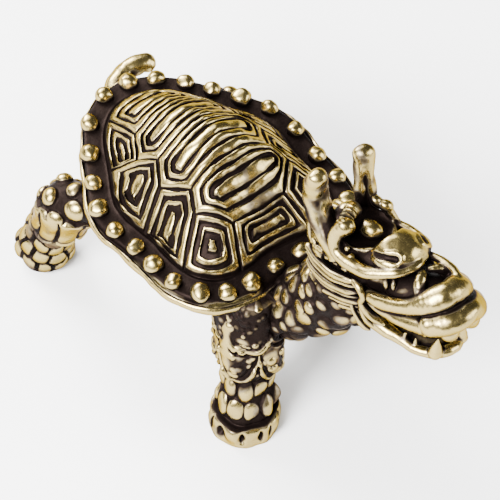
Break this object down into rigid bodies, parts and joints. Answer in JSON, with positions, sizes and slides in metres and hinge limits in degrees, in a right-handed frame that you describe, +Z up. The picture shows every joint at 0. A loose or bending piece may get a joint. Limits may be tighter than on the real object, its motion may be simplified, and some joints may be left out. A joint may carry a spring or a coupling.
{
  "type": "dragon turtle figure",
  "caption": "Small cast brass figure of a turtle with a horned dragon's head, carved domed shell and studded rim, walking on four scaly legs.",
  "frame": {"origin": "on the ground, under the middle of the figure's bounding box", "axes": "+Z up, -Y towards the head, +X towards the figure's own left"},
  "size_m": [0.0222, 0.0442, 0.0321],
  "materials": {
    "antique_brass": "cast brass, polished on the high points, with a near-black patina left in the recesses"
  },
  "bodies": {
    "root": {"dragon_turtle": "antique_brass"}
  },
  "joints": []
}
